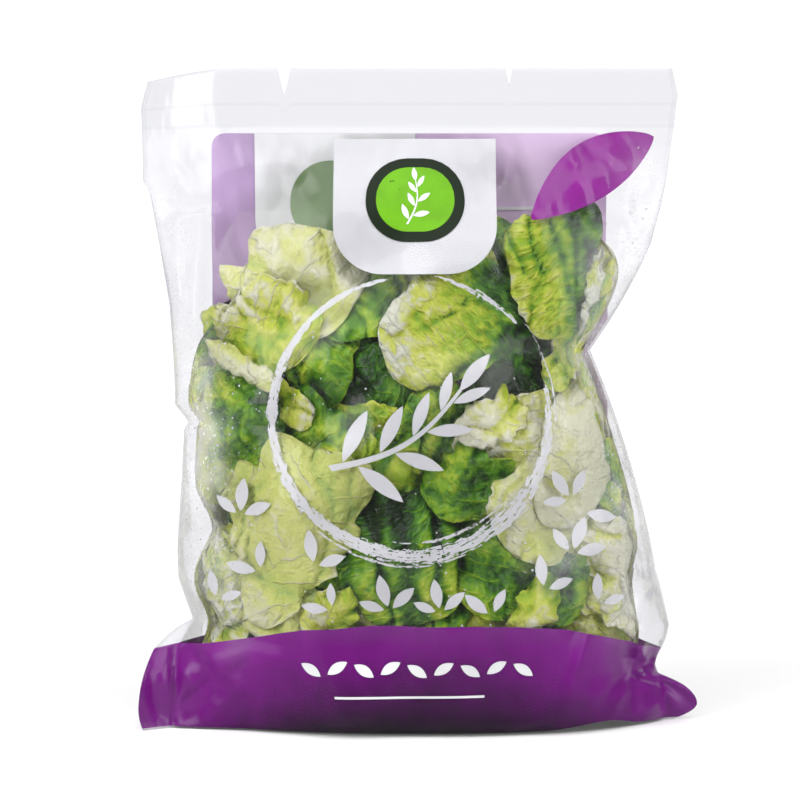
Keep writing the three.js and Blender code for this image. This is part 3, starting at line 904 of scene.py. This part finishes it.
def leafSolid(points):
    # the two faces lie half a wall each way along the sheet's own normal, joined at the rim
    rows, columns = points.shape[:2]
    across, along = np.gradient(points, axis=1), np.gradient(points, axis=0)
    normal = np.cross(across, along)
    normal /= np.maximum(np.linalg.norm(normal, axis=-1, keepdims=True), 1e-6)
    half = leafFill["wall"] / 2
    upper, lower = points + normal * half, points - normal * half
    count = rows * columns
    faces = [gridFaces(rows, columns), gridFaces(rows, columns, count, flip=True)]
    grid = np.arange(count).reshape(rows, columns)
    rim = np.concatenate([grid[0, :-1], grid[:-1, -1], grid[-1, :0:-1], grid[:0:-1, 0]])
    after = np.roll(rim, -1)
    faces.append(np.stack([rim + count, after + count, after, rim], -1))
    return np.concatenate([upper.reshape(-1, 3), lower.reshape(-1, 3)]), np.concatenate(faces)


def leafList():
    specs = []
    for i, (kind, at, depth, turn, size, tone, own) in enumerate(frontLeaves):
        specs.append({"kind": kind, "at": at, "depth": depth + 0.6, "turn": turn, "size": size,
                      "tone": tone, "own": own, "seed": 3.0 + 1.37 * i, "panel": -1,
                      "step": leafFill["heroStep"], "filler": False})
    rng = np.random.default_rng(leafFill["seed"])
    for panel, depth, stepX, stepZ, toneMean, toneSpread, grid in leafFill["layers"]:
        for row in np.arange(14, 206, stepZ):
            for column in np.arange(-92, 96, stepX):
                x = column + rng.uniform(-0.35, 0.35) * stepX
                z = row + rng.uniform(-0.35, 0.35) * stepZ
                aside = smoothStep(0.55, 0.85, abs(float(shareAt(np.array(x), np.array(z)))))
                tone = toneMean + toneSpread * rng.normal() + leafFill["paleAside"] * aside
                tone = float(np.clip(tone, 0.08, 0.95))
                if z > massTop(x) - 6:
                    continue
                kind = "romaine" if tone < 0.5 else "heart" if tone < 0.78 else "iceberg"
                length = rng.uniform(*leafFill["length"])
                specs.append({"kind": kind, "at": (x, z), "depth": depth + rng.uniform(-2.5, 3.5),
                              "turn": rng.uniform(-leafFill["turn"], leafFill["turn"]),
                              "size": (length, length * rng.uniform(*leafFill["slim"])),
                              "tone": tone, "own": {"tilt": tuple(rng.uniform(-4, 4, 2))},
                              "seed": 100 + len(specs) * 1.31, "panel": panel,
                              "step": leafFill[grid], "filler": True})
    return specs


def makeLeaves():
    bundles = {}
    stacks = {-1: LeafStack(), 1: LeafStack()}
    for spec in sorted(leafList(), key=lambda leaf: leaf["depth"]):
        points, marks = settleLeaf(spec, stacks[spec["panel"]])
        solid, faces = leafSolid(points)
        bundle = bundles.setdefault(spec["kind"], {key: [] for key in (
            "points", "faces", "leafPlace", "leafTone", "leafRib", "leafFlow")})
        count = sum(len(earlier) for earlier in bundle["points"])
        bundle["points"].append(solid)
        bundle["faces"].append(faces + count)
        for key, values in marks.items():
            bundle[key] += [values, values]  # the same on both faces
    for kind, bundle in bundles.items():
        parts = {key: np.concatenate(values) for key, values in bundle.items()}
        piece = makeMesh(f"{kind}_leaves", parts["points"], parts["faces"],
                         {key: parts[key] for key in ("leafTone", "leafRib", "leafFlow")},
                         {"leafPlace": parts["leafPlace"]})
        finishPiece(piece, leafMaterial(kind))
        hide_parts(bagNode)


def leafMaterial(kind):
    look = leafKinds[kind]
    book = NodeBook(f"{kind}Leaf")
    place = book.attribute("leafPlace", "Vector")
    tone = book.attribute("leafTone")
    rib = book.attribute("leafRib")
    flow = book.attribute("leafFlow")
    vein = 1 - book.spread((flow.floorLeft() - 0.5).size() * 2, 0.0, 0.14)
    vein = vein * book.spread(book.noise(place, 70, 0.0), 0.35, 0.6)  # veins come and go
    bent = book.add("Mix", {"data_type": "VECTOR"},
                    {0: 0.004, 4: place, 5: book.add("TexNoise", None, {
                        "Vector": place, "Scale": 150, "Detail": 0.0}, 1)}, 1)
    grain = book.add("CombineXYZ", None, {0: flow, 1: rib * 0.4, 2: book.part(place, 2) * 7})
    grain = book.noise(grain, 3.2, 2.0) - 0.5  # streaks that run with the veins
    wrinkle = 1 - ((book.noise(bent, 105, 2.0) - 0.5).size() * 9).atMost(1.0)
    crinkle = 1 - ((book.noise(bent, 260, 1.0) - 0.5).size() * 7).atMost(1.0)
    patch = book.noise(place, 38, 2.0) - 0.5
    fine = book.noise(place, 260, 2.0) - 0.5
    # shade is the tone with painted shade added: ridges of the wrinkle noise lighter, hollows
    # darker
    shade = tone + rib * look["rib"][2] + vein * 0.2 \
        + (patch * 0.4 + fine * 0.16 + grain * 0.15) * (1.15 - 0.7 * tone) \
        + (wrinkle - 0.25) * look["wrinkle"] + (crinkle - 0.3) * look["wrinkle"] * 0.5
    ramp = book.add("ValToRGB", {"stops": [
        (at, colour(*tint)) for at, tint in leafFill["tones"]]}, {"Fac": shade})
    height = vein * 0.6 + fine * 2.2 + rib * 0.4 \
        + (wrinkle * 7 + crinkle * 2.7) * look["wrinkle"]
    normal = book.bump(height, 0.9, 0.0009)
    ground = book.mixColours(look["pale"], ramp, colour(*leafFill["paleTint"]))
    face = book.add("BsdfPrincipled", None,
                    {"Base Color": ground, "Roughness": 0.3 + patch * 0.3, "Normal": normal,
                     "Specular IOR Level": leafFill["shine"]})
    through = book.add("BsdfTranslucent", None, {"Color": colour(*look["glow"]),
                                                 "Normal": normal})
    thin = book.spread(shade, 0.0, 1.0, 0.08, 0.34)
    return book.finish(book.mixShaders(thin, face, through))


# prints: thin sheets that lie against the inside of the film

printLook = {
    "step": 1.3, "under": 0.22,  # mm: grid step, and usual depth below the film
    "tab": {"x": (-37.4, 32.1), "z": (192.7, 251.3), "corner": 21},
    "badgeRim": {"x": (-23.6, 18.6), "z": (206.4, 242.6), "corner": 17.6},
    "badge": {"x": (-19.2, 14.2), "z": (210.8, 238.6), "corner": 13.6},
    "backBadge": {"x": (-57, -16), "z": (206.6, 242.4), "corner": 17.4},
    "backTab": {"x": (-72, -2.5), "z": (196, 253.9), "corner": 21},
    "backField": {"x": (-90.6, 80.5), "z": (64, 254), "corner": 6},
    "flash": {"foot": (46.5, 216), "tip": (100.5, 252.5), "upper": 15.5, "lower": 9.5},
    "ring": {"middle": (-4.9, 134.4), "radius": (57.8, 57.4)},
    "marks": {"count": 14, "gap": 18.5, "seed": 8, "offRing": 17},  # leaf marks, in mm
    # brush strokes: radius added, from, to (degrees), widths at start, middle and end, dryness
    "strokes": [(0.0, 99, 262, 1.8, 5.2, 6.0, 0.35), (0.6, 255, 372, 6.0, 9.5, 2.5, 0.5),
                (1.0, 80, 40, 1.6, 3.4, 2.0, 0.55), (4.6, 232, 292, 1.0, 1.8, 0.8, 0.6),
                (-4.9, 262, 318, 1.0, 2.2, 0.8, 0.65), (3.2, 352, 398, 2.4, 2.0, 0.8, 0.75)],
    "band": [(-121, 33.0), (-90, 38), (-60, 44.5), (-30, 46.8), (25, 47.2), (57, 46),
             (75, 43), (94, 38), (121, 31)],
    "bandFoot": 0.9,
    "markZones": [(-92, -36, 51, 96), (-24, 34, 50, 58), (42, 90, 51, 104)],
    "backRules": [(222, 6, 70), (213, 6, 70), (204, 6, 56), (176, -78, 68), (168, -78, 68),
                  (160, -78, 40)],
    "inks": {  # screen colour, roughness, gloss, unevenness
        "white": ((206, 206, 208), 0.42, 0.2, 0.015),
        "purple": ((124, 12, 132), 0.3, 0.12, 0.03),
        "brightPurple": ((146, 24, 146), 0.3, 0.12, 0.05),
        "innerLilac": ((196, 166, 208), 0.6, 0.1, 0.02),
        "innerWhite": ((250, 250, 252), 0.6, 0.1, 0.01),
        "lime": ((98, 158, 24), 0.4, 0.12, 0.05),
        "innerLime": ((140, 168, 120), 0.6, 0.12, 0.05),
        "rim": ((18, 30, 14), 0.4, 0.12, 0.05),
        "brushed": ((206, 206, 208), 0.45, 0.2, 0.015),
    },
    # painted shade darkens the purple foot; painted light makes the inner lilac lighter towards
    # the right
    "footPaintedShade": (14, 3, 16), "innerLilacPaintedLight": (244, 214, 250),
}


def fanGrid(start, end, upper, lower, power=0.85, tipShift=0.0):
    # a pointed leaf shape from one point to another, as a grid of (x, height)
    dx, dz = end[0] - start[0], end[1] - start[1]
    length = math.hypot(dx, dz)
    rows = max(8, round(length / printLook["step"]))
    columns = max(4, round((upper + lower) / printLook["step"]))
    u = np.linspace(0, 1, rows + 1)[:, None]
    v = np.linspace(-1, 1, columns + 1)[None, :]
    swell = np.sin(np.pi * u ** (1 + tipShift)) ** power
    side = np.where(v < 0, lower, upper) * v * swell
    x = start[0] + dx * u - dz / length * side
    z = start[1] + dz * u + dx / length * side
    return x, z


def blockGrid(block, roundTop=False):
    # an upright block with a round foot
    (x0, x1), (z0, z1), corner = block["x"], block["z"], block["corner"]
    step = printLook["step"]
    rows, columns = round((z1 - z0) / step), round((x1 - x0) / step)
    z = z0 + (z1 - z0) * np.linspace(0, 1, rows + 1)
    near = z0 + corner * (1 - np.cos(np.linspace(0, np.pi / 2, 14)))
    z = np.concatenate([near, z[z > z0 + corner + 0.4]])
    if roundTop:
        near = z1 - corner * (1 - np.cos(np.linspace(0, np.pi / 2, 8)))
        z = np.concatenate([z[z < z1 - corner - 0.4], near[::-1]])
    inset = 0 * z
    for gap in (z - z0, z1 - z) if roundTop else (z - z0,):
        low = np.clip(corner - gap, 0, corner)
        inset = np.maximum(inset, corner - np.sqrt(corner ** 2 - low ** 2))
    u = np.linspace(0, 1, columns + 1)[None, :]
    low = np.maximum(x0 + inset, middleAt(z) - 0.985 * bodyHalfAt(-1, z))
    high = np.minimum(x1 - inset, middleAt(z) + 0.985 * bodyHalfAt(1, z))
    return low[:, None] * (1 - u) + high[:, None] * u, z[:, None] + 0 * u


def strokeGrid(centre, radius, stroke, seed):
    # a brush stroke along part of an ellipse; degrees, anticlockwise from the right
    offset, start, end, first, middle, last, dry = stroke
    length = abs(end - start) / 360 * 2 * math.pi * radius[0]
    rows = max(10, round(length / 1.0))
    u = np.linspace(0, 1, rows + 1)[:, None]
    v = np.linspace(-1, 1, 9)[None, :]
    angle = np.radians(start + (end - start) * u)
    width = np.interp(u, (0, 0.5, 1), (first, middle, last)) \
        * (1 + 0.16 * smoothNoise(u * 9, 0.5, seed)) * smoothStep(0, 0.02, u * (1 - u))
    ragged = 0.14 * smoothNoise(u * length / 1.4, np.sign(v) * 3, seed + 1)
    drift = 0.9 * smoothNoise(u * 3.2, 0.5, seed + 2) + offset
    away = drift + width / 2 * (v + ragged * np.abs(v))
    x = centre[0] + (radius[0] + away) * np.cos(angle)
    z = centre[1] + (radius[1] + away) * np.sin(angle)
    return x, z, u * length + 37.0 * seed + 0 * v, v * width / 2, v + 0 * u, dry + 0 * x


def layPrint(name, panel, grids, material, slot, under=printLook["under"]):
    points, faces, along, rims, count = [], [], [], [], 0
    for grid in grids:
        x, z = grid[0], grid[1]
        y = filmY(panel, x, z) - panel * under
        rows, columns = x.shape
        quads = gridFaces(rows, columns, count)
        ax, az = x[1, columns // 2] - x[0, columns // 2], z[1, columns // 2] - z[0, columns // 2]
        bx, bz = x[rows // 2, 1] - x[rows // 2, 0], z[rows // 2, 1] - z[rows // 2, 0]
        facesBack = (bx * az - bz * ax) < 0
        faces.append(quads[:, ::-1] if facesBack == (panel < 0) else quads)
        points.append(np.stack([x, y, z], -1).reshape(-1, 3))
        if len(grid) > 2:
            along.append(np.stack([grid[2] * mm, grid[3] * mm, grid[5]], -1).reshape(-1, 3))
            rims.append(np.abs(grid[4]).ravel())
        count += x.size
    brushed = bool(along)
    piece = makeMesh(name, np.concatenate(points), np.concatenate(faces),
                     {"strokeRim": np.concatenate(rims)} if brushed else None,
                     {"strokePlace": np.concatenate(along)} if brushed else None)
    finishPiece(piece, material)


def inkMaterial(name):
    tint, rough, gloss, mottle = printLook["inks"][name]
    tint = colour(*tint)
    book = NodeBook(f"{name}Ink")
    place = book.place()
    cloud = book.noise(place, 90, 3.0)
    dark = (*(v * (1 - 3 * mottle) for v in tint[:3]), 1.0)
    ground = book.mixColours(book.spread(cloud, 0.3, 0.7), dark, tint)
    x, z = book.part(place, 0), book.part(place, 2)
    if name == "innerLilac":  # painted light: lighter towards the right
        ground = book.mixColours(book.spread(x, -0.05, 0.05), ground,
                                 colour(*printLook["innerLilacPaintedLight"]))
    if name == "purple":  # painted shade: darker low down and in the middle, where the foot turns under the bag
        low = 1 - book.spread(z + (x * 6.0) ** 2.0 * 0.1 + cloud * 0.012, 0.004, 0.062)
        ground = book.mixColours(low, ground, colour(*printLook["footPaintedShade"]))
    face = book.add("BsdfPrincipled", None,
                    {"Base Color": ground, "Roughness": rough + 0.15 * cloud,
                     "Specular IOR Level": gloss, "Normal": book.bump(cloud, 0.1, 0.0004)})
    if name != "brushed":
        return book.finish(face)
    stroke = book.attribute("strokePlace", "Vector")
    streaks = book.add("Mapping", None, {"Vector": stroke, "Scale": (0.10, 1.0, 0.0)})
    ink = book.noise(streaks, 1500, 2.0) * 0.7 + book.noise(stroke, 600, 2.0) * 0.45 \
        - book.attribute("strokeRim") ** 3.0 * 0.22 - book.part(stroke, 2) * 0.28
    return book.finish(book.mixShaders(book.spread(ink, 0.34, 0.38),
                                       book.add("BsdfTransparent"), face))


def bandGrid(panel):
    # the purple foot of the bag, up to its wavy upper edge, from weld to weld
    tops = np.array(printLook["band"])
    s = np.linspace(-1, 1, 190)[None, :]
    share = np.linspace(0, 1, 40)[:, None]
    xGuess = s * 118.0
    top = np.interp(xGuess, tops[:, 0], tops[:, 1]) + 0.5 * smoothNoise(xGuess / 11, 0.5, 41)
    foot = printLook["bandFoot"] + 3.2 * np.exp(-((xGuess - 78) / 15) ** 2) * (panel < 0)
    z = foot + (top - foot) * share
    body, span = bagSpans(s + 0 * z, z)
    return middleAt(z) + s * span * 0.9997, z


def leafPrint(x, z, turn, length, width):
    # a printed leaf that grows from a point; turn is clockwise from upright, in degrees
    tip = (x + math.sin(math.radians(turn)) * length, z + math.cos(math.radians(turn)) * length)
    return fanGrid((x, z), tip, width * 0.52, width * 0.44)


def sprouts():
    # two or three leaves that spring from one place, again and again
    marks, zones, ring = printLook["marks"], printLook["markZones"], printLook["ring"]
    rng = np.random.default_rng(marks["seed"])
    ringRadius = sum(ring["radius"]) / 2
    places, grids = [], []
    while len(places) < marks["count"]:
        x0, x1, z0, z1 = zones[rng.integers(len(zones))]
        x, z = rng.uniform(x0, x1), rng.uniform(z0, z1)
        if any(math.hypot(x - p[0], z - p[1]) < marks["gap"] for p in places):
            continue
        away = math.hypot(x - ring["middle"][0], z - ring["middle"][1])
        if abs(away - ringRadius) < marks["offRing"]:  # the marks keep off the brushed ring
            continue
        places.append((x, z))
        turn, size = rng.uniform(-50, 50), rng.uniform(0.8, 1.15)
        fan = [(-38, 1.0), (40, 0.85)] if rng.random() < 0.4 \
            else [(-62, 0.8), (-4, 1.0), (56, 0.9)]
        for angle, share in fan:
            away = math.radians(turn + angle)
            length = 13.5 * size * share
            leaf = leafPrint(x + math.sin(away) * 2.2, z + math.cos(away) * 2.2,
                             turn + angle, length, length * 0.42)
            if np.max(np.abs(shareAt(*leaf))) < 0.88:
                grids.append(leaf)
    return grids


def sprig(x, z, size, turn, pairs, plump=1.0):
    # a bowed stem with pairs of leaves and one at its tip
    lean = math.radians(turn)

    def onStem(share, aside=0.0):
        bow = (0.12 * np.sin(share * math.pi) + aside) * size
        return (x + math.sin(lean) * size * share + bow * math.cos(lean),
                z + math.cos(lean) * size * share - bow * math.sin(lean))

    grids = []
    for i in range(pairs):
        for side in (-1, 1):
            share = (i + 0.45 + 0.18 * side) / (pairs + 0.3)
            angle = turn + side * (52 - 8 * i) + 20 * math.cos(share * math.pi)
            reach = size * (0.36 - 0.035 * i)
            sx, sz = onStem(share)
            grids.append(leafPrint(sx + math.sin(math.radians(angle)) * size * 0.03,
                                   sz + math.cos(math.radians(angle)) * size * 0.03,
                                   angle, reach, reach * 0.36 * plump))
    sx, sz = onStem(0.95)
    grids.append(leafPrint(sx, sz, turn - 18, size * 0.3, size * 0.12 * plump))
    u = np.linspace(0, 0.96, 40)[:, None]
    v = np.linspace(-1, 1, 4)[None, :]
    grids.append(onStem(u, v * (0.010 + 0.012 * (1 - u))))
    return grids


def ruleGrid(x0, x1, z, thick):
    x = np.linspace(x0, x1, max(8, round((x1 - x0) / printLook["step"])))[None, :]
    return x + np.zeros((3, 1)), z + thick / 2 * np.array([[-1.0], [0.0], [1.0]]) + 0 * x


def makePrints():
    look, front, back = printLook, -1, 1
    flash, ring = look["flash"], look["ring"]
    flash = fanGrid(flash["foot"], flash["tip"], flash["upper"], flash["lower"], 0.72, 0.1)
    strokes = [strokeGrid(ring["middle"], ring["radius"], stroke, i + 1.0)
               for i, stroke in enumerate(look["strokes"])]
    garland = [leafPrint(-50 + 11 * i, 27 if i % 2 else 31, 58 if i % 2 else 122, 9.6, 4.4)
               for i in range(9)] + [ruleGrid(-36, 26, 17.5, 1.0)]
    rules = [ruleGrid(x0, x1, z, 1.2) for z, x0, x1 in look["backRules"]]
    prints = [  # name, panel, grids, ink, mm below the film where it isn't the usual depth
        ("white_tab", front, [blockGrid(look["tab"])], "white"),
        ("badge_rim", front, [blockGrid(look["badgeRim"], True)], "rim", -0.12),
        ("tab_badge", front, [blockGrid(look["badge"], True)], "lime", -0.18),
        ("tab_sprig", front, sprig(-6, 214, 20, 10, 3), "white", -0.28),
        ("purple_flash", front, [flash], "brightPurple"),
        ("brush_ring", front, strokes, "brushed"),
        ("ring_sprig", front, sprig(-38, 112, 66, 58, 4, 0.8), "white"),
        ("leaf_marks", front, sprouts(), "white"),
        ("purple_foot_front", front, [bandGrid(front)], "purple"),
        ("purple_foot_back", back, [bandGrid(back)], "purple"),
        ("foot_garland", front, garland, "white", -0.1),
        ("back_field", back, [blockGrid(look["backField"], True)], "brightPurple", 0.1),
        ("back_field_inside", back, [blockGrid(look["backField"], True)], "innerLilac", 0.7),
        ("back_tab", back, [blockGrid(look["backTab"])], "white", -0.25),
        ("back_tab_inside", back, [blockGrid(look["backTab"])], "innerWhite", 1.2),
        ("back_badge", back, [blockGrid(look["backBadge"], True)], "lime", -0.5),
        ("back_badge_inside", back, [blockGrid(look["backBadge"], True)], "innerLime", 1.5),
        ("back_tab_sprig", back, sprig(-39, 213.5, 24, 8, 3), "white", -0.75),
        ("back_rules", back, rules, "white", -0.25),
        ("back_rules_inside", back, rules[:3], "innerWhite", 1.2),
    ]
    inks = {name: inkMaterial(name) for name in look["inks"]}
    for name, panel, grids, ink, *under in prints:
        slot = "purple_print" if "urple" in ink or ink == "innerLilac" else "white_print"
        layPrint(name, panel, grids, inks[ink], slot, *under)


# stage, lights and camera

studio = {  # the view in mm, the rest in metres
    "view": {"target": (-9, 0, 139), "distance": 1100, "elevation": 2.0, "mmPerPixel": 0.43,
             "pixels": 800, "sensor": 36},
    "floorDepth": 2.6, "sweep": 0.8, "wallHeight": 3.2, "floorWidth": 7.0, "floorFront": 2.6,
    "floorGlow": 0.08, "wallGlow": 0.62,  # the wall is far from the lamps and glows more
    "paint": (0.82, 0.82, 0.82, 1), "worldLight": 0.25,
    # place, aim, size, watts
    "lamps": [((-0.95, -0.85, 0.75), (0, 0, 0.14), (0.7, 1.1), 14),
              ((1.0, -0.75, 0.65), (0, 0, 0.14), (0.6, 1.2), 9.5),
              ((0.0, -0.5, 1.3), (0, 0, 0.1), (1.5, 1.0), 16)],
}


def makeStage():
    reach, sweep, wall = studio["floorDepth"], studio["sweep"], studio["wallHeight"]
    angles = [i / 14 * math.pi / 2 for i in range(1, 15)]
    profile = [(-studio["floorFront"], 0.0), (-0.5, 0.0), (0.0, 0.0), (reach - sweep, 0.0),
               *((reach - sweep + sweep * math.sin(angle), sweep - sweep * math.cos(angle))
                 for angle in angles), (reach, wall)]
    half = studio["floorWidth"] / 2
    points = [(x / mm, y / mm, z / mm) for y, z in profile for x in (-half, half)]
    faces = [(2 * i, 2 * i + 1, 2 * i + 3, 2 * i + 2) for i in range(len(profile) - 1)]
    stage = makeMesh("studio_sweep", points, faces)
    book = NodeBook("paleStage")
    glow = book.mixColours(book.spread(book.part(book.place(), 1), 0.0, 1.8),
                           (studio["floorGlow"],) * 3 + (1,), (studio["wallGlow"],) * 3 + (1,))
    shade = book.add("BsdfPrincipled", None, {
        "Base Color": studio["paint"], "Roughness": 0.6, "Specular IOR Level": 0.2,
        "Emission Color": glow, "Emission Strength": 1.0})
    stage.data.materials.append(book.finish(shade))


def makeLamps():
    for i, (spot, aim, size, power) in enumerate(studio["lamps"]):
        light = bpy.data.lights.new(f"softbox{i}", "AREA")
        light.shape = "RECTANGLE"
        light.size, light.size_y = size
        light.energy = power
        lamp = bpy.data.objects.new(f"softbox{i}", light)
        bpy.context.scene.collection.objects.link(lamp)
        lamp.location = spot
        lamp.rotation_euler = (Vector(aim) - Vector(spot)).to_track_quat("-Z", "Y").to_euler()
    world = bpy.data.worlds.new("studioAir")
    bpy.context.scene.world = world
    world.use_nodes = True
    sky = world.node_tree.nodes["Background"]
    sky.inputs["Color"].default_value = (1, 1, 1, 1)
    sky.inputs["Strength"].default_value = studio["worldLight"]


def makeCamera():
    view = studio["view"]
    camera = bpy.data.cameras.new("photoCamera")
    camera.sensor_width = view["sensor"]
    camera.lens = view["sensor"] * view["distance"] / (view["pixels"] * view["mmPerPixel"])
    holder = bpy.data.objects.new("photoCamera", camera)
    bpy.context.scene.collection.objects.link(holder)
    rise = math.radians(view["elevation"])
    target = Vector(view["target"]) * mm
    away = Vector((0, -math.cos(rise), math.sin(rise))) * view["distance"] * mm
    holder.location = target + away
    holder.rotation_euler = (-away).to_track_quat("-Z", "Y").to_euler()
    bpy.context.scene.camera = holder
    bpy.context.scene.view_settings.view_transform = "Standard"


makeStage()
makeLamps()
makeCamera()
film = finishPiece(makeFilm(), filmMaterial())
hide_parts(bagNode)
makeDrops(film)
makePrints()
makeLeaves()
